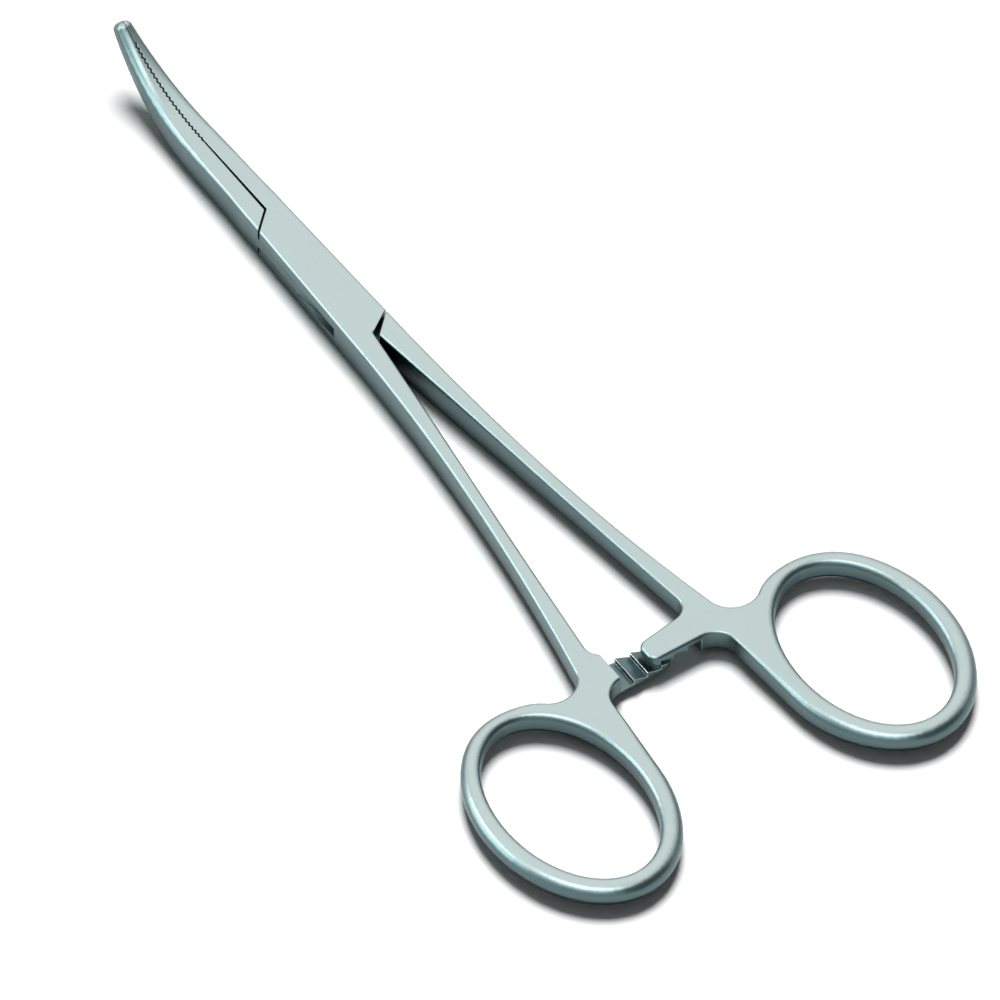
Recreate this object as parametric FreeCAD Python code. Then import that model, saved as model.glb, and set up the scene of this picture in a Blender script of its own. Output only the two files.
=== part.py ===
import FreeCAD, Part
import math
import os

# Curved hemostat forceps, 14 cm long, closed on the first step of its ratchet.
# +X runs from the pivot to the jaw tips, +Y to the left of that, and +Z up, the way the jaws curve.
# The origin is on the pivot's axis, at the underside of the box joint. Every length is in millimetres.
# The box half carries the right jaw, the two cheeks of the box joint and the left handle.
# The tongue half carries the left jaw, the tongue between the cheeks and the right handle.

# Box joint
box_thickness = 4.7
box_half_length = 11.6
box_front_half_width = 2.55
box_rear_half_width = 3.2
shoulder_setback = 2.4
edge_round = 0.45
tongue_thickness = 1.5
layer_gap = 0.04
slot_wall_radius = 8.0
turn_gap = 0.25
tongue_waist_half_width = 1.55
tongue_waist_start = 1.5
shoulder_gap = 0.26
rear_shoulder_inset = 0.25
rear_shoulder_gap = 0.2
crotch_gap = 0.75
crotch_half_width = 0.12
pin_radius = 1.15
pin_gap = 0.04

# Jaws
jaw_reach = 42.3
jaw_bend_start = 25.0
jaw_bend_radius = 25.0
jaw_root_half_width = 2.4
jaw_root_reach = 16.5
jaw_bend_half_width = 2.35
jaw_bend_height = 4.5
jaw_bend_round = 0.8
jaw_tip_half_width = 1.0
jaw_tip_height = 2.4
jaw_tip_round = 0.95
jaw_middle_extra_round = 0.25
jaw_end_round = 0.8
jaw_width_power = 1.6
jaw_height_power = 1.3
jaw_spans = 6
root_parting_gap = 0.36
bite_parting_gap = 0.19
tip_parting_gap = 0.07
bare_tip_length = 2.0
tooth_pitch = 0.75
tooth_depth = 0.24

# Shanks and finger rings
shank_bow_radius = 320.0
shank_taper_end = 60.0
handle_thickness = 3.1
ring_front_lead = 4.15
ring_near_side = 9.55
ring_length = 32.4
ring_width = 23.5
ring_front_band = 2.2
ring_back_band = 2.7
ring_side_band = 2.7
ring_tangent_share = 0.1
ring_outer_round = 1.35
ring_inner_round = 0.8
ring_round_growth = 0.9
ring_spans = 8
neck_outer_blend = 3.5
neck_inner_blend = 3.0

# Ratchet
arm_rear_back = 72.3
arm_end_width = 3.3
arm_root_width = 4.5
arm_end_round = 1.2
arm_front_blend = 2.2
arm_margin = 1.5
shank_width_at_arm = 2.85
box_arm_reach = 1.8
tongue_arm_reach = 1.3
box_arm_step = 5.95
first_tooth_setback = 1.9
ratchet_travel = 4.0
ratchet_pitch = 2.0
ratchet_depth = 0.75
ratchet_gap = 0.08
ratchet_teeth = 3

# A length that passes well clear of the box joint's sides
clear = 10.0

middle = box_thickness / 2
ring_half_length = ring_length / 2
ring_half_width = ring_width / 2
ring_out = ring_near_side + ring_half_width
ring_back = arm_rear_back - ring_front_lead + ring_half_length
hole_half_length = (ring_length - ring_front_band - ring_back_band) / 2
hole_half_width = ring_half_width - ring_side_band
hole_back = ring_back - (ring_back_band - ring_front_band) / 2
box_first_crest = box_arm_step - first_tooth_setback
above = box_thickness + 2 * jaw_bend_radius
side_slope = (box_rear_half_width - box_front_half_width) / (2 * box_half_length)
tip_turn = math.asin((jaw_reach - jaw_bend_start) / jaw_bend_radius)
bite_teeth = int((tip_turn * jaw_bend_radius - bare_tip_length) / tooth_pitch)


def at(x, y, z=0.0):
    return FreeCAD.Vector(x, y, z)


def polygon_face(points):
    return Part.Face(Part.makePolygon([at(x, y) for x, y in points] + [at(*points[0])]))


def upright(points, low, high):
    """A prism over a plan outline, from one height to another."""
    face = polygon_face(points)
    face.translate(at(0, 0, low))
    return face.extrude(at(0, 0, high - low))


def side_half_width(x):
    """Half the width of the box joint at a station along it."""
    return box_front_half_width + side_slope * (box_half_length - x)


def blend(first, last, share):
    return first + (last - first) * share


def jaw_section(x_or_turn, half_width, height, corner, turned):
    """One rounded cross-section of the closed jaws, square to their centre line."""
    if turned:
        along = jaw_bend_start + jaw_bend_radius * math.sin(x_or_turn)
        rise = middle + jaw_bend_radius * (1 - math.cos(x_or_turn))
        up = at(-math.sin(x_or_turn), 0, math.cos(x_or_turn))
    else:
        along = x_or_turn
        rise = middle
        up = at(0, 0, 1)
    centre = at(along, 0, rise)
    flat_y = half_width - corner
    flat_z = height / 2 - corner
    diagonal = corner * math.sqrt(0.5)

    def place(y, z):
        return centre + at(0, y, 0) + up * z

    edges = []
    for y_sign, z_sign in ((1, -1), (1, 1), (-1, 1), (-1, -1)):
        low_side = place(y_sign * flat_y, z_sign * height / 2)
        flank_side = place(y_sign * half_width, z_sign * flat_z)
        crown = place(y_sign * (flat_y + diagonal), z_sign * (flat_z + diagonal))
        ends = (low_side, flank_side) if y_sign * z_sign < 0 else (flank_side, low_side)
        if edges:
            edges.append(Part.LineSegment(edges[-1].valueAt(edges[-1].LastParameter), ends[0]).toShape())
        edges.append(Part.Arc(ends[0], crown, ends[1]).toShape())
    first = edges[0].valueAt(edges[0].FirstParameter)
    last = edges[-1].valueAt(edges[-1].LastParameter)
    edges.append(Part.LineSegment(last, first).toShape())
    return Part.Wire(edges)


def closed_jaws(first_section):
    """Both jaws as one closed, tapering form that grows out of the box joint and curves up to the tips."""
    sections = [first_section]
    root_x = (box_half_length + jaw_root_reach) / 2
    root_half_width = (box_front_half_width + jaw_root_half_width) / 2 + 0.02
    sections.append(jaw_section(root_x, root_half_width, box_thickness, edge_round, False))
    sections.append(jaw_section(jaw_root_reach, jaw_root_half_width, box_thickness - 0.04, edge_round, False))
    neck_x = (jaw_root_reach + jaw_bend_start) / 2
    neck_half_width = (jaw_root_half_width + jaw_bend_half_width) / 2
    neck_height = blend(box_thickness, jaw_bend_height, 0.4)
    neck_round = blend(edge_round, jaw_bend_round, 0.4)
    sections.append(jaw_section(neck_x, neck_half_width, neck_height, neck_round, False))
    for step in range(jaw_spans + 1):
        share = step / jaw_spans
        bulge = 4 * share * (1 - share)
        sections.append(jaw_section(
            tip_turn * share,
            blend(jaw_bend_half_width, jaw_tip_half_width, share ** jaw_width_power),
            blend(jaw_bend_height, jaw_tip_height, share ** jaw_height_power),
            blend(jaw_bend_round, jaw_tip_round, share) + jaw_middle_extra_round * bulge,
            True))
    jaws = Part.makeLoft(sections, True, False)
    end = max(jaws.Faces, key=lambda face: face.CenterOfMass.x)
    return jaws.makeFillet(jaw_end_round, end.Edges)


def shank_outer_centre():
    """Centre of the long arc that the shank's outer edge follows from the box joint's flank."""
    length = math.hypot(side_slope, 1)
    return at(-box_half_length + shank_bow_radius * side_slope / length,
              box_rear_half_width + shank_bow_radius / length)


def shank_outer(x):
    centre = shank_outer_centre()
    return centre.y - math.sqrt(shank_bow_radius ** 2 - (x - centre.x) ** 2)


def ring_edge(x):
    """The side of the ring's outline that faces the other ring."""
    share = (x + ring_back) / ring_half_length
    return ring_out - ring_half_width * math.sqrt(1 - share ** 2)


def where_shank_meets_ring():
    near = -ring_back + ring_half_length * 0.999
    far = -ring_back
    for _ in range(60):
        x = (near + far) / 2
        if shank_outer(x) < ring_edge(x):
            near = x
        else:
            far = x
    return x


def handle_outline(arm_reach):
    """Plan outline of the box joint with the left handle: shank, finger ring and ratchet arm."""
    front = box_half_length
    arm_rear = -arm_rear_back
    arm_tip = arm_rear + arm_end_width
    arm_front = arm_rear + arm_root_width
    meeting_x = where_shank_meets_ring()
    meeting = at(meeting_x, shank_outer(meeting_x))
    flank_end = at(-front, box_rear_half_width)
    middle_x = (meeting_x - front) / 2
    touch_x = -ring_back - ring_tangent_share * ring_half_length
    touch = at(touch_x, ring_edge(touch_x))
    touch_slope = -ring_half_width * ring_tangent_share / (
        ring_half_length * math.sqrt(1 - ring_tangent_share ** 2))
    arm_root = at(arm_rear, touch.y + touch_slope * (arm_rear - touch_x))
    shank_inner_end = at(arm_front, shank_outer(arm_front) - shank_width_at_arm)
    crotch = at(-front, crotch_half_width)
    ring = Part.Ellipse(at(-ring_back, ring_out), ring_half_length, ring_half_width)
    far_share = ring.parameter(touch)
    near_share = ring.parameter(meeting)
    if near_share < far_share:
        near_share += 2 * math.pi
    way_round = far_share + 2 * math.pi - near_share
    turns = [near_share + way_round * step / ring_spans for step in range(ring_spans + 1)]
    corners = [at(front, -box_front_half_width), at(front, box_front_half_width), flank_end]
    edges = [Part.LineSegment(a, b).toShape() for a, b in zip(corners, corners[1:])]
    edges.append(Part.Arc(flank_end, at(middle_x, shank_outer(middle_x)), meeting).toShape())
    edges.extend(Part.ArcOfEllipse(ring, a, b).toShape() for a, b in zip(turns, turns[1:]))
    corners = [touch, arm_root, at(arm_rear, -arm_reach), at(arm_tip, -arm_reach), shank_inner_end, crotch,
               at(-front, -box_rear_half_width), at(front, -box_front_half_width)]
    edges.extend(Part.LineSegment(a, b).toShape() for a, b in zip(corners, corners[1:]))
    blends = [(meeting, neck_outer_blend), (arm_root, neck_inner_blend), (shank_inner_end, arm_front_blend),
              (at(arm_rear, -arm_reach), arm_end_round), (at(arm_tip, -arm_reach), arm_end_round)]
    return Part.Wire(Part.__sortEdges__(edges)), blends


def side_profile():
    """What the box joint, shanks and rings share seen from the side: full thickness, then a gentle taper."""
    start = -box_half_length - 1
    end = -shank_taper_end
    drop = (box_thickness - handle_thickness) / 2
    run = (start - end) / 2
    sag = drop / 8
    tail = -ring_back - ring_half_length - 5
    edges = []
    for side in (1, -1):
        full = middle + side * box_thickness / 2
        thin = middle + side * handle_thickness / 2
        halfway = at(start - run, 0, (full + thin) / 2)
        edges.append(Part.LineSegment(at(box_half_length, 0, full), at(start, 0, full)).toShape())
        edges.append(Part.Arc(at(start, 0, full), at(start - run / 2, 0, full - side * sag), halfway).toShape())
        edges.append(Part.Arc(halfway, at(end + run / 2, 0, thin + side * sag), at(end, 0, thin)).toShape())
        edges.append(Part.LineSegment(at(end, 0, thin), at(tail, 0, thin)).toShape())
    for x, half in ((box_half_length, box_thickness / 2), (tail, handle_thickness / 2)):
        edges.append(Part.LineSegment(at(x, 0, middle - half), at(x, 0, middle + half)).toShape())
    face = Part.Face(Part.Wire(Part.__sortEdges__(edges)))
    reach = 3 * (ring_out + ring_half_width)
    face.translate(at(0, -reach / 2, 0))
    return face.extrude(at(0, reach, 0))


def faces_of(shape, edge):
    return [face for face in shape.Faces if any(edge.isSame(other) for other in face.Edges)]


def outline_edges(shape):
    """The sharp edges along the top and the underside of a flat forging, leaving out its front end."""
    found = []
    for edge in shape.Edges:
        point = edge.valueAt((edge.FirstParameter + edge.LastParameter) / 2)
        sides = faces_of(shape, edge)
        if len(sides) != 2 or point.x > box_half_length - 0.01:
            continue
        tilts = sorted(abs(side.normalAt(*side.Surface.parameter(point)).z) for side in sides)
        if tilts[0] < 0.3 and tilts[1] > 0.7:
            found.append(edge)
    return found


def forging(arm_reach):
    """The box joint and the left handle as one rounded forging, before the joint is cut into it."""
    wire, blends = handle_outline(arm_reach)
    plan = Part.Face(wire)
    plan.translate(at(0, 0, -1))
    solid = plan.extrude(at(0, 0, box_thickness + 2))
    for corner, radius in blends:
        upright_edges = [edge for edge in solid.Edges
                         if all(math.hypot(v.X - corner.x, v.Y - corner.y) < 0.001 for v in edge.Vertexes)]
        solid = solid.makeFillet(radius, upright_edges)
    hole = Part.Face(Part.Wire(Part.Ellipse(at(-hole_back, ring_out, -2), hole_half_length,
                                            hole_half_width).toShape()))
    solid = solid.cut(hole.extrude(at(0, 0, box_thickness + 4)))
    solid = solid.common(side_profile())
    return rounded(solid)


def on_ring_scale(x, y):
    """A place in plan as seen from the ring's middle, on the scale at which the ring's outline is 1 away."""
    return at((x + ring_back) / ring_half_length, (y - ring_out) / ring_half_width)


def round_at(point):
    """The radius wanted for the long edges, which grows round the finger ring away from its neck."""
    place = on_ring_scale(point.x, point.y)
    if abs(place.Length - 1) > 0.01:
        return edge_round
    meeting_x = where_shank_meets_ring()
    touch_x = -ring_back - ring_tangent_share * ring_half_length
    ends = [on_ring_scale(meeting_x, shank_outer(meeting_x)), on_ring_scale(touch_x, ring_edge(touch_x))]
    turn = min(place.getAngle(end) for end in ends)
    return blend(edge_round, ring_outer_round, min(1, turn / ring_round_growth))


def rounded(solid):
    """Rounds every long edge, each with its own radius at its two ends."""
    wanted = outline_edges(solid)
    edges = []
    for number, edge in enumerate(solid.Edges, 1):
        if not any(edge.isSame(other) for other in wanted):
            continue
        if is_in_ring_hole(edge):
            edges.append((number, ring_inner_round, ring_inner_round))
        else:
            ends = [vertex.Point for vertex in edge.Vertexes]
            edges.append((number, round_at(ends[0]), round_at(ends[-1])))
    document = FreeCAD.newDocument()
    blank = document.addObject("Part::Feature", "blank")
    blank.Shape = solid
    fillet = document.addObject("Part::Fillet", "fillet")
    fillet.Base = blank
    fillet.Edges = edges
    document.recompute()
    return fillet.Shape


def is_in_ring_hole(edge):
    point = edge.valueAt((edge.FirstParameter + edge.LastParameter) / 2)
    return math.hypot((point.x + hole_back) / hole_half_length, (point.y - ring_out) / hole_half_width) < 1.02


def shoulder_x(y, forward):
    """Where the slanted shoulder between the cheeks and the left jaw lies, moved forward square to itself."""
    side = side_half_width(box_half_length - shoulder_setback)
    slant = math.hypot(shoulder_setback, side)
    return box_half_length + (forward * slant - shoulder_setback * y) / side


def jaw_zone(forward, side):
    """Everything in front of the shoulder and to the left of the parting line, as one jaw's edge of that
    line runs: side is 1 for the left jaw's own edge and -1 for the right jaw's."""
    root_edge = side * root_parting_gap / 2
    bite_edge = side * bite_parting_gap / 2
    tip_edge = side * tip_parting_gap / 2
    return upright([(shoulder_x(clear, forward), clear),
                    (shoulder_x(root_edge, forward), root_edge),
                    (jaw_bend_start, bite_edge),
                    (jaw_bend_start, tip_edge),
                    (jaw_reach + clear, tip_edge),
                    (jaw_reach + clear, clear)], -clear, above)


def tooth_groove(distance, side):
    """One cross groove of a jaw's bite, at a distance along the bend. side is 1 for the left jaw."""
    turn = distance / jaw_bend_radius
    along = at(math.cos(turn), 0, math.sin(turn))
    up = at(-math.sin(turn), 0, math.cos(turn))
    centre = at(jaw_bend_start + jaw_bend_radius * math.sin(turn), 0,
                middle + jaw_bend_radius * (1 - math.cos(turn)))
    root = tooth_depth / 2 + bite_parting_gap / 2
    mouth = tooth_depth / 2 + 0.1
    half_mouth = (root + mouth) * tooth_pitch / 2 / tooth_depth
    bottom = centre - up * box_thickness
    corners = [bottom + at(0, side * root, 0),
               bottom + along * half_mouth - at(0, side * mouth, 0),
               bottom - along * half_mouth - at(0, side * mouth, 0)]
    face = Part.Face(Part.makePolygon(corners + corners[:1]))
    return face.extrude(up * (2 * box_thickness))


def bite_grooves(side):
    """The grooves of one jaw. The other jaw's are half a pitch away, so ridges face grooves."""
    first = -side * tooth_pitch / 4
    return [tooth_groove(first + tooth_pitch * step, side) for step in range(bite_teeth)]


def pivot_disc(radius, low, high):
    return Part.makeCylinder(radius, high - low, at(0, 0, low))


def with_half_turn(shape):
    """The shape and its copy turned half a turn about the pivot."""
    other = shape.copy()
    other.rotate(at(0, 0), at(0, 0, 1), 180)
    return [shape, other]


def slot_for_tongue():
    """The room between the cheeks, open on both flanks and ended by two walls that curve about the pivot."""
    low = middle - tongue_thickness / 2 - layer_gap
    high = middle + tongue_thickness / 2 + layer_gap
    arm_room = upright([(0, -root_parting_gap / 2), (box_half_length, -root_parting_gap / 2),
                        (box_half_length, clear), (0, clear)], low, high)
    return [pivot_disc(slot_wall_radius, low, high)] + with_half_turn(arm_room)


def rear_notch():
    """What the cheeks leave free for the right shank, with a gap that narrows towards their flank."""
    root = box_half_length - rear_shoulder_inset
    outer = box_half_length - shoulder_setback + shoulder_gap - rear_shoulder_gap
    slope = (outer - root) / box_rear_half_width
    notch = upright([(root + slope * clear, clear),
                     (root - slope * crotch_half_width, -crotch_half_width),
                     (2 * box_half_length, -crotch_half_width),
                     (2 * box_half_length, clear)], -clear, above)
    return with_half_turn(notch)[1]


def room_for_cheeks():
    """What is cut from the tongue half's forging so that only its tongue lies between the cheeks."""
    shoulder_end = box_half_length - shoulder_setback
    side = side_half_width(-shoulder_end)
    rear_slope = (box_half_length + crotch_gap - shoulder_end - shoulder_gap) / side
    root_edge = root_parting_gap / 2
    plan = [(shoulder_x(clear, shoulder_gap / 2), clear),
            (shoulder_x(root_edge, shoulder_gap / 2), root_edge),
            (2 * box_half_length, root_edge),
            (2 * box_half_length, -clear),
            (-box_half_length - crotch_gap + rear_slope * clear, -clear),
            (-box_half_length - crotch_gap, -crotch_half_width),
            (-2 * box_half_length, -crotch_half_width),
            (-2 * box_half_length, clear)]
    upper = upright(plan, middle + tongue_thickness / 2, above)
    lower = upright(plan, -clear, middle - tongue_thickness / 2)
    wall = upright([(0, root_edge), (2 * box_half_length, root_edge),
                    (2 * box_half_length, -clear), (0, -clear)], -clear, above)
    walls = with_half_turn(wall.cut(pivot_disc(slot_wall_radius - turn_gap, -2 * clear, above + clear)))
    waist = upright([(tongue_waist_start, side_half_width(-tongue_waist_start) + 0.05),
                     (tongue_waist_start, clear), (-slot_wall_radius, clear),
                     (-slot_wall_radius, tongue_waist_half_width)], -clear, above)
    return [upper, lower] + walls + with_half_turn(waist)


def ratchet_room(wall, crests, arm_reach, side):
    """What is cut from a ratchet arm to leave its stepped face. side is 1 for teeth on the upper face."""
    crest = ratchet_gap
    valley = ratchet_gap + ratchet_depth
    profile = [(wall, -clear), (wall, valley)]
    for y in crests:
        profile += [(y, valley), (y, crest)]
    last = crests[-1] - ratchet_pitch
    profile += [(last, valley), (min(last, -arm_reach) - clear, valley), (min(last, -arm_reach) - clear, -clear)]
    rear = -arm_rear_back - arm_margin
    corners = [at(rear, y, middle - side * depth) for y, depth in profile]
    face = Part.Face(Part.makePolygon(corners + corners[:1]))
    return face.extrude(at(arm_root_width + 2 * arm_margin, 0, 0))


def box_half(solid, jaws):
    """Right jaw, cheeks, left handle and the lower ratchet arm."""
    left = jaw_zone(-shoulder_gap / 2, -1)
    crests = [box_first_crest - ratchet_pitch * step for step in range(ratchet_teeth)]
    solid = solid.cut([left, rear_notch(), ratchet_room(box_arm_step, crests, box_arm_reach, 1)]
                      + slot_for_tongue())
    jaw = jaws.cut([left] + bite_grooves(-1))
    solid = solid.fuse(jaw)
    return solid.cut(pivot_disc(pin_radius, -clear, above))


def tongue_half(solid, jaws):
    """Left jaw, tongue, right handle and the upper ratchet arm."""
    left = jaw_zone(shoulder_gap / 2, 1)
    own_wall = box_arm_reach + ratchet_travel
    engaged = ratchet_pitch * (ratchet_teeth - 1) - box_first_crest - ratchet_gap
    crests = [engaged + ratchet_pitch * step for step in reversed(range(ratchet_teeth))]
    solid = solid.cut(ratchet_room(own_wall, crests, tongue_arm_reach, -1))
    solid = solid.mirror(at(0, 0), at(0, 1, 0))
    solid = solid.cut(room_for_cheeks())
    jaw = jaws.common(left).cut(bite_grooves(1))
    solid = solid.fuse(jaw)
    return solid.cut(pivot_disc(pin_radius + pin_gap, -clear, above))


def save(name, shape):
    solids = shape.Solids
    print(name, len(solids), "solid", round(shape.Volume, 2), "mm3", shape.isValid())
    shape = solids[0] if len(solids) == 1 else shape
    shape.exportStep(os.path.join("parts", name + ".step"))


os.makedirs("parts", exist_ok=True)
box_forging = forging(box_arm_reach)
front = max(box_forging.Faces, key=lambda face: face.CenterOfMass.x)
jaws = closed_jaws(front.OuterWire)
save("box_half", box_half(box_forging, jaws))
save("tongue_half", tongue_half(forging(tongue_arm_reach), jaws))
save("pivot_pin", pivot_disc(pin_radius, 0, box_thickness))
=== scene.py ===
import math

import bpy
from mathutils import Matrix, Vector


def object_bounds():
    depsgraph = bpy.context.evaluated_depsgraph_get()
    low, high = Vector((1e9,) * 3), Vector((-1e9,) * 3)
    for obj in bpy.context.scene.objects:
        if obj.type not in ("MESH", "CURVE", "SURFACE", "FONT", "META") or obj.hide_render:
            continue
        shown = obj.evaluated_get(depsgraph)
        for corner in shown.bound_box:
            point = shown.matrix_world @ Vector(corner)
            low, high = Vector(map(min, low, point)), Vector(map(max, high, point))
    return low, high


# Satin steel forceps lying on a pale floor, seen from above the handles, with the jaws at the far end.
# Lengths are in metres and directions are x, y, z, both in the CAD's frame. Colours are linear.

# Camera, as in the photograph: no perspective, 50 degrees above the floor
VIEW_RIGHT = Vector((-0.565, -0.825, 0.0))
VIEW_UP = Vector((0.632, -0.433, 0.643))
VIEW_TARGET = Vector((-0.0401, 0.0014, 0.00235))
VIEW_WIDTH = 0.1196
VIEW_DISTANCE = 0.6

# Floor, whose colour drifts between two pale tones
FLOOR_HALF_SIZE = 3.0
FLOOR_COLOUR = (0.93, 0.935, 0.935)
FLOOR_PALER = 1.02
FLOOR_MOTTLE_SCALE = 40.0
FLOOR_ROUGHNESS = 0.9

# Light that throws the soft shadow on the floor, from behind the jaws
SHADOW_LAMP_ELEVATION = math.radians(64)
SHADOW_LAMP_HEADING = math.atan2(-0.565, 0.825)
SHADOW_LAMP_SPREAD = math.radians(26)
SHADOW_LAMP_STRENGTH = 4.0

# Panels and the dark card, all as far from the middle of the view
PANEL_DISTANCE = 0.6

# Surroundings: what the metal and the camera see, and how much of it fills the shadows
WHITE = (1.0, 1.0, 1.0, 1.0)
SURROUNDINGS_STRENGTH = 1.0
FILL_STRENGTH = 0.09

# Steel: two tones that its level faces drift between, and the painted shade of its flanks, darker because of
# how they face the light
LIGHT_TONE = (0.465, 0.555, 0.545, 1.0)
DARK_TONE = (0.425, 0.515, 0.507, 1.0)
FLANK_PAINTED_SHADE = (0.098, 0.152, 0.157, 1.0)

# Upward part of a face's normal below which the face is a flank, and above which it is level
FLANK_UPRIGHT = 0.75
LEVEL_UPRIGHT = 0.99

# Noise on the steel: how many features each has in a metre, and the strokes' stretch along the handles
CLOUD_SCALE = 55.0
PIT_SCALE = 5200.0
STROKE_SCALE = 900.0
STROKE_STRETCH = (0.06, 1, 1)

# Relief of the blasted grain
GRAIN_STRENGTH = 0.35
GRAIN_HEIGHT = 0.00001

# Roughness between two clouds, what the strokes add or take, and what the polished edges lose
ROUGHNESS_LOW = 0.29
ROUGHNESS_HIGH = 0.35
STROKE_ROUGHNESS = 0.02
EDGE_POLISH = 0.08

# How far the sharpest edges are softened, and the agreement of normals from a flat face to an edge
EDGE_SOFTNESS = 0.00016
FACE_AGREEMENT = 0.99
EDGE_AGREEMENT = 0.8

# Painted shade in the narrowest gaps, and how far away the metal that closes them in may be
GAP_PAINTED_SHADE = (0.006, 0.009, 0.012, 1.0)
GAP_REACH = 0.003

# Ratchet: its middle's distance behind the pivot, its reach round it, the heights between which the painted
# shade on its lower arm fades out, and the bright colour on its crests, which rubbing has polished and which
# is also a painted highlight
RATCHET_BACK = 0.07
RATCHET_REACH = 0.0065
RATCHET_LOWER_TOP = 0.0024
RATCHET_UPPER_START = 0.003
CREST_POLISH_AND_HIGHLIGHT = (0.80, 0.87, 0.87, 1.0)

# Pivot, whose pin is ground flush, so that its seam doesn't show
PIN_SEAM_RADIUS = 0.0017

# Slot in the box joint's sides, whose rims are sharp and carry painted shade in the hairline beside the
# tongue
SLOT_LEVEL = 0.00235
SLOT_HALF_HEIGHT = 0.00105
SLOT_HALF_LENGTH = 0.0121


def node(tree, kind, **values):
    """A new shader node with some of its sockets or properties set by name."""
    made = tree.nodes.new(kind)
    for key, value in values.items():
        if key in made.inputs:
            made.inputs[key].default_value = value
        else:
            setattr(made, key, value)
    return made


def noise(tree, coordinates, scale, detail, roughness=0.5, stretch=(1, 1, 1)):
    """Noise that is fixed to the metal, drawn out along the axes that stretch gives."""
    mapping = node(tree, "ShaderNodeMapping", Scale=stretch)
    tree.links.new(coordinates, mapping.inputs["Vector"])
    made = node(tree, "ShaderNodeTexNoise", Scale=scale, Detail=detail, Roughness=roughness)
    tree.links.new(mapping.outputs["Vector"], made.inputs["Vector"])
    return made.outputs["Fac"]


def remap(tree, source, low, high, to_low, to_high):
    """Carries low..high over to to_low..to_high, and holds the ends beyond them."""
    made = node(tree, "ShaderNodeMapRange")
    made.inputs["From Min"].default_value = low
    made.inputs["From Max"].default_value = high
    made.inputs["To Min"].default_value = to_low
    made.inputs["To Max"].default_value = to_high
    tree.links.new(source, made.inputs["Value"])
    return made.outputs["Result"]


def fill_sockets(tree, sockets, values):
    """Sets each socket to its value, or links it where the value is another node's output."""
    for socket, value in zip(sockets, values):
        if isinstance(value, (int, float, tuple)):
            socket.default_value = value
        else:
            tree.links.new(value, socket)


def arithmetic(tree, operation, first, second=0.0):
    made = node(tree, "ShaderNodeMath", operation=operation)
    fill_sockets(tree, made.inputs, (first, second))
    return made.outputs["Value"]


def mix(tree, kind, factor, first, second):
    """Goes from the first colour or vector to the second as the factor goes from 0 to 1."""
    made = node(tree, "ShaderNodeMix", data_type=kind)
    tree.links.new(factor, made.inputs[0])
    ends = [socket for socket in made.inputs if socket.type == kind][-2:]
    fill_sockets(tree, ends, (first, second))
    return next(socket for socket in made.outputs if socket.type == kind)


def components(tree, vector):
    made = tree.nodes.new("ShaderNodeSeparateXYZ")
    tree.links.new(vector, made.inputs[0])
    return made.outputs


def level_length(tree, x, y):
    """Length of a level vector."""
    vector = tree.nodes.new("ShaderNodeCombineXYZ")
    tree.links.new(x, vector.inputs["X"])
    tree.links.new(y, vector.inputs["Y"])
    made = node(tree, "ShaderNodeVectorMath", operation="LENGTH")
    tree.links.new(vector.outputs["Vector"], made.inputs[0])
    return made.outputs["Value"]


def edge_mask(tree, true_normal, soft_normal):
    """1 on sharp edges, where the softened normal turns away from the true one."""
    facing = node(tree, "ShaderNodeVectorMath", operation="DOT_PRODUCT")
    tree.links.new(soft_normal, facing.inputs[0])
    tree.links.new(true_normal, facing.inputs[1])
    return remap(tree, facing.outputs["Value"], FACE_AGREEMENT, EDGE_AGREEMENT, 0.0, 1.0)


def slot_mask(tree, place):
    """1 in the band of the box joint's sides that holds the slot."""
    height = arithmetic(tree, "ABSOLUTE", arithmetic(tree, "SUBTRACT", place["Z"], SLOT_LEVEL))
    band = remap(tree, height, SLOT_HALF_HEIGHT, 1.1 * SLOT_HALF_HEIGHT, 1.0, 0.0)
    along = arithmetic(tree, "ABSOLUTE", place["X"])
    in_box = remap(tree, along, SLOT_HALF_LENGTH, 1.03 * SLOT_HALF_LENGTH, 1.0, 0.0)
    return arithmetic(tree, "MULTIPLY", band, in_box)


def ratchet_mask(tree, place):
    """1 round the ratchet's two arms."""
    along = arithmetic(tree, "ADD", place["X"], RATCHET_BACK)
    distance = level_length(tree, along, place["Y"])
    return remap(tree, distance, RATCHET_REACH, 1.3 * RATCHET_REACH, 1.0, 0.0)


def shown_normal(tree, place, slot, true_normal, soft_normal):
    """Soft edges, apart from the pin's seam, which is ground away, and the slot's rims, which stay sharp."""
    from_pivot = level_length(tree, place["X"], place["Y"])
    off_pin = remap(tree, from_pivot, PIN_SEAM_RADIUS, 1.1 * PIN_SEAM_RADIUS, 0.0, 1.0)
    softened = arithmetic(tree, "MULTIPLY", off_pin, arithmetic(tree, "SUBTRACT", 1.0, slot))
    return mix(tree, "VECTOR", softened, true_normal, soft_normal)


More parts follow.
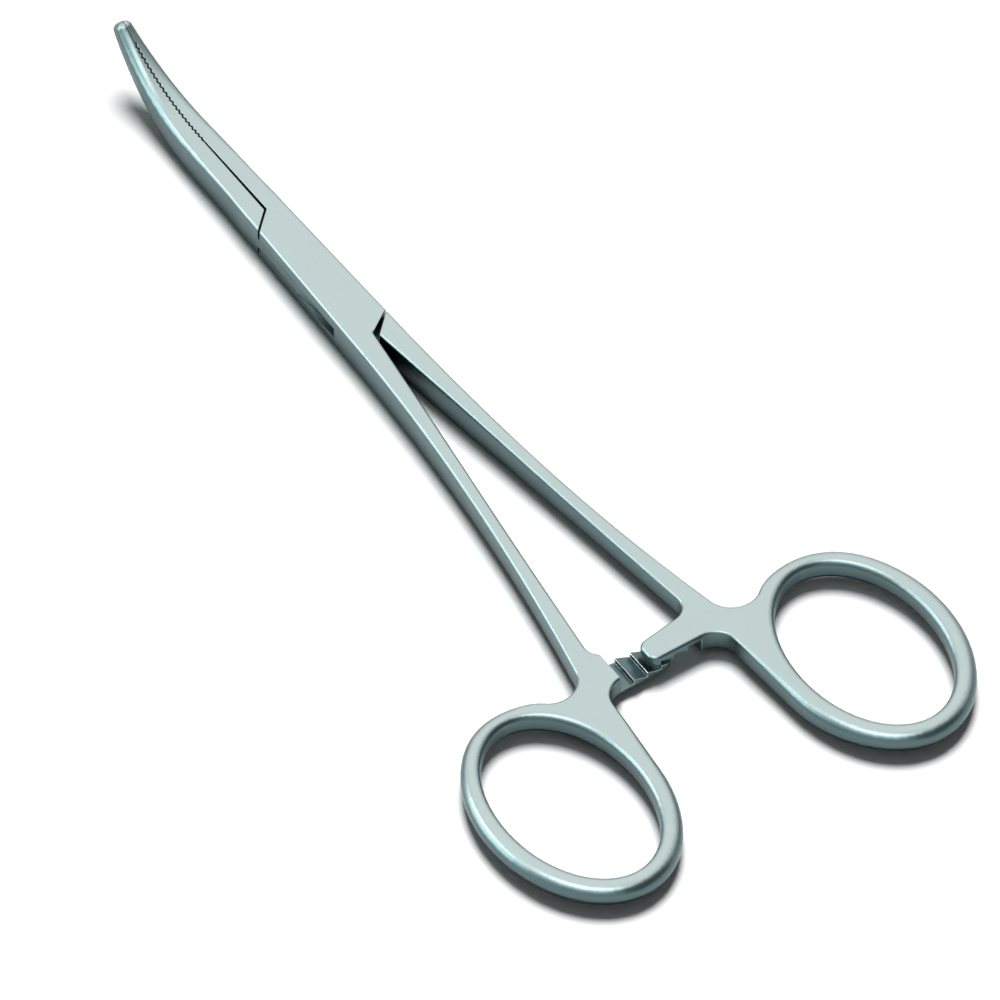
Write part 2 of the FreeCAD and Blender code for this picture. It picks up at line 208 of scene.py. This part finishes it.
def steel_colour(tree, place, normal, clouds, pits, edge, slot):
    """Clouds and grain, painted shade on the flanks, painted shade where surfaces close in, on the slot's
    rims and on the ratchet's lower arm, and the ratchet's worn crests with a painted highlight.
    """
    tone = remap(tree, clouds, 0.3, 0.7, 0.0, 0.6)
    tone = arithmetic(tree, "ADD", tone, remap(tree, pits, 0.35, 0.65, 0.0, 0.4))
    colour = mix(tree, "RGBA", tone, LIGHT_TONE, DARK_TONE)

    # Painted shade: faces that lean towards upright get the darker flank colour, because of how they face the
    # light.
    upright = arithmetic(tree, "ABSOLUTE", components(tree, normal)["Z"])
    flank_shade = remap(tree, upright, FLANK_UPRIGHT, LEVEL_UPRIGHT, 1.0, 0.0)
    colour = mix(tree, "RGBA", flank_shade, colour, FLANK_PAINTED_SHADE)

    # Painted shade where nearby metal closes in, read from ambient occlusion.
    openness = node(tree, "ShaderNodeAmbientOcclusion", samples=4, Distance=GAP_REACH).outputs["AO"]
    colour = mix(tree, "RGBA", remap(tree, openness, 0.2, 0.6, 1.0, 0.0), colour, GAP_PAINTED_SHADE)
    # Painted shade along the slot's sharp rims, in the hairline beside the tongue.
    slot_rim_shade = arithmetic(tree, "MULTIPLY", arithmetic(tree, "MULTIPLY", edge, slot), 0.6)
    colour = mix(tree, "RGBA", slot_rim_shade, colour, GAP_PAINTED_SHADE)

    # Painted shade on the ratchet's lower arm, below its upper arm.
    ratchet = ratchet_mask(tree, place)
    lower = remap(tree, place["Z"], RATCHET_LOWER_TOP, RATCHET_UPPER_START, 0.85, 0.0)
    colour = mix(tree, "RGBA", arithmetic(tree, "MULTIPLY", ratchet, lower), colour, FLANK_PAINTED_SHADE)
    # Worn crests of the ratchet, brightened to a painted highlight where they are open.
    crest_wear_and_highlight = arithmetic(tree, "MULTIPLY", edge, remap(tree, openness, 0.35, 0.55, 0.0, 1.0))
    return mix(tree, "RGBA", arithmetic(tree, "MULTIPLY", crest_wear_and_highlight, ratchet), colour, CREST_POLISH_AND_HIGHLIGHT)


def steel_roughness(tree, clouds, strokes, edge):
    """Satin faces, with edges that handling has polished a little."""
    rough = remap(tree, clouds, 0.3, 0.7, ROUGHNESS_LOW, ROUGHNESS_HIGH)
    ripple = remap(tree, strokes, 0.3, 0.7, -STROKE_ROUGHNESS, STROKE_ROUGHNESS)
    rough = arithmetic(tree, "ADD", rough, ripple)
    return arithmetic(tree, "SUBTRACT", rough, arithmetic(tree, "MULTIPLY", edge, EDGE_POLISH))


def steel_relief(tree, normal, pits, strokes):
    """Blasted pits and the faintest lengthwise strokes."""
    height = arithmetic(tree, "ADD", pits, arithmetic(tree, "MULTIPLY", strokes, 0.5))
    bump = node(tree, "ShaderNodeBump", Strength=GRAIN_STRENGTH, Distance=GRAIN_HEIGHT)
    tree.links.new(height, bump.inputs["Height"])
    tree.links.new(normal, bump.inputs["Normal"])
    return bump.outputs["Normal"]


def satin_steel(name):
    """Blasted stainless steel: a fine grain, faint tonal clouds and smoother, brighter edges, with painted
    shade on flanks and in gaps and a painted highlight on the ratchet's crests.
    """
    material = bpy.data.materials.new(name)
    material.use_nodes = True
    tree = material.node_tree
    shader = tree.nodes["Principled BSDF"]
    shader.inputs["Metallic"].default_value = 1.0

    coordinates = tree.nodes.new("ShaderNodeTexCoord").outputs["Object"]
    place = components(tree, coordinates)
    clouds = noise(tree, coordinates, CLOUD_SCALE, 3.0)
    pits = noise(tree, coordinates, PIT_SCALE, 2.0, 0.6)
    strokes = noise(tree, coordinates, STROKE_SCALE, 2.0, 0.5, STROKE_STRETCH)

    soft_normal = node(tree, "ShaderNodeBevel", samples=6, Radius=EDGE_SOFTNESS).outputs["Normal"]
    true_normal = tree.nodes.new("ShaderNodeNewGeometry").outputs["Normal"]
    edge = edge_mask(tree, true_normal, soft_normal)
    slot = slot_mask(tree, place)
    normal = shown_normal(tree, place, slot, true_normal, soft_normal)

    made = {
        "Base Color": steel_colour(tree, place, normal, clouds, pits, edge, slot),
        "Roughness": steel_roughness(tree, clouds, strokes, edge),
        "Normal": steel_relief(tree, normal, pits, strokes),
    }
    for socket, output in made.items():
        tree.links.new(output, shader.inputs[socket])
    return material


def paint(names, material):
    for name in names:
        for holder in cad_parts[name].material_slots:
            holder.material = material


def floor_material():
    material = bpy.data.materials.new("floor")
    material.use_nodes = True
    tree = material.node_tree
    shader = tree.nodes["Principled BSDF"]
    shader.inputs["Roughness"].default_value = FLOOR_ROUGHNESS
    shader.inputs["Specular IOR Level"].default_value = 0.0
    coordinates = tree.nodes.new("ShaderNodeTexCoord").outputs["Object"]
    mottle = noise(tree, coordinates, FLOOR_MOTTLE_SCALE, 2.0)
    paler = tuple(min(1.0, channel * FLOOR_PALER) for channel in FLOOR_COLOUR)
    colour = mix(tree, "RGBA", mottle, FLOOR_COLOUR + (1.0,), paler + (1.0,))
    tree.links.new(colour, shader.inputs["Base Color"])
    return material


def square_piece(name, corners, material):
    """One flat square of the stage, which isn't part of the object."""
    mesh = bpy.data.meshes.new(name)
    mesh.from_pydata(corners, [], [(0, 1, 2, 3)])
    mesh.materials.append(material)
    square = bpy.data.objects.new(name, mesh)
    bpy.context.scene.collection.objects.link(square)
    return square


def lay_floor(level):
    reach = FLOOR_HALF_SIZE
    corners = [(-reach, -reach, level), (reach, -reach, level), (reach, reach, level), (-reach, reach, level)]
    square_piece("floor", corners, floor_material())


def hang_lamp(name, lamp, direction):
    """Puts a lamp in the scene, at the origin, so that it shines along a direction."""
    holder = bpy.data.objects.new(name, lamp)
    bpy.context.scene.collection.objects.link(holder)
    holder.rotation_mode = "QUATERNION"
    holder.rotation_quaternion = direction.to_track_quat("-Z", "Y")
    return holder


def shadow_lamp():
    lamp = bpy.data.lights.new("shadow_lamp", "SUN")
    lamp.energy = SHADOW_LAMP_STRENGTH
    lamp.angle = SHADOW_LAMP_SPREAD
    level = math.cos(SHADOW_LAMP_ELEVATION)
    towards_lamp = Vector((level * math.cos(SHADOW_LAMP_HEADING), level * math.sin(SHADOW_LAMP_HEADING),
                           math.sin(SHADOW_LAMP_ELEVATION)))
    holder = hang_lamp("shadow_lamp", lamp, -towards_lamp)
    holder.visible_glossy = False


def softbox(name, towards, size, radiance):
    """A square lamp panel that faces the handles' middle and shows only as a sheen on the metal."""
    lamp = bpy.data.lights.new(name, "AREA")
    lamp.shape = "SQUARE"
    lamp.size = size
    lamp.energy = radiance * math.pi * size * size
    direction = Vector(towards).normalized()
    holder = hang_lamp(name, lamp, -direction)
    holder.location = VIEW_TARGET + direction * PANEL_DISTANCE
    holder.visible_diffuse = False
    holder.visible_camera = False


def dark_card(name, towards, size, radiance):
    """A dim square card that faces the handles' middle, which only the metal's reflections see."""
    material = bpy.data.materials.new(name)
    material.use_nodes = True
    tree = material.node_tree
    tree.nodes.remove(tree.nodes["Principled BSDF"])
    glow = node(tree, "ShaderNodeEmission", Strength=radiance)
    tree.links.new(glow.outputs["Emission"], tree.nodes["Material Output"].inputs["Surface"])
    direction = Vector(towards).normalized()
    across = Vector((0.0, 0.0, 1.0)).cross(direction).normalized() * size / 2
    rise = direction.cross(across).normalized() * size / 2
    middle = VIEW_TARGET + direction * PANEL_DISTANCE
    corners = [middle - across - rise, middle + across - rise, middle + across + rise, middle - across + rise]
    card = square_piece(name, corners, material)
    card.visible_camera = False
    card.visible_diffuse = False
    card.visible_shadow = False


def surroundings():
    """A white room for the camera and the metal, and a dim one for what fills the shadows."""
    world = bpy.data.worlds.new("room")
    bpy.context.scene.world = world
    world.use_nodes = True
    tree = world.node_tree
    seen = tree.nodes["Background"]
    seen.inputs["Color"].default_value = WHITE
    seen.inputs["Strength"].default_value = SURROUNDINGS_STRENGTH
    fill = node(tree, "ShaderNodeBackground", Color=WHITE, Strength=FILL_STRENGTH)
    path = tree.nodes.new("ShaderNodeLightPath")
    direct = arithmetic(tree, "ADD", path.outputs["Is Camera Ray"], path.outputs["Is Glossy Ray"])
    direct = arithmetic(tree, "ADD", direct, path.outputs["Is Transmission Ray"])
    switch = tree.nodes.new("ShaderNodeMixShader")
    tree.links.new(direct, switch.inputs[0])
    tree.links.new(fill.outputs["Background"], switch.inputs[1])
    tree.links.new(seen.outputs["Background"], switch.inputs[2])
    tree.links.new(switch.outputs["Shader"], tree.nodes["World Output"].inputs["Surface"])


def place_camera():
    lens = bpy.data.cameras.new("camera")
    lens.type = "ORTHO"
    lens.ortho_scale = VIEW_WIDTH
    camera = bpy.data.objects.new("camera", lens)
    bpy.context.scene.collection.objects.link(camera)
    right = VIEW_RIGHT.normalized()
    back = right.cross(VIEW_UP).normalized()
    up = back.cross(right)
    turn = Matrix((right, up, back)).transposed().to_4x4()
    camera.matrix_world = Matrix.Translation(VIEW_TARGET + back * VIEW_DISTANCE) @ turn
    bpy.context.scene.camera = camera


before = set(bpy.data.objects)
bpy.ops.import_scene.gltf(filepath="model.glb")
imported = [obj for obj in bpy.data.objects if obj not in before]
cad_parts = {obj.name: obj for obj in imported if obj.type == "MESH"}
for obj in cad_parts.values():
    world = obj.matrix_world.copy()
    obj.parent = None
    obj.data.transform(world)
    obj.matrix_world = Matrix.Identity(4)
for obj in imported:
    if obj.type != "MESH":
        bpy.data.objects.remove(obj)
cad_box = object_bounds()
bpy.context.scene.view_settings.view_transform = "Standard"

paint(["box_half", "tongue_half"], satin_steel("satin_steel"))
paint(["pivot_pin"], satin_steel("pin_steel"))

lay_floor(cad_box[0][2])
surroundings()
shadow_lamp()
softbox("top_panel", (0.53, -0.363, 0.766), 0.75, 0.2)
softbox("side_panel", (0.53, 0.766, 0.363), 0.5, 5.5)
softbox("overhead_panel", (-0.3, 0.45, 0.84), 0.5, 3.0)
dark_card("camera_side_card", (-0.80, -0.38, 0.42), 0.8, 0.3)
place_camera()
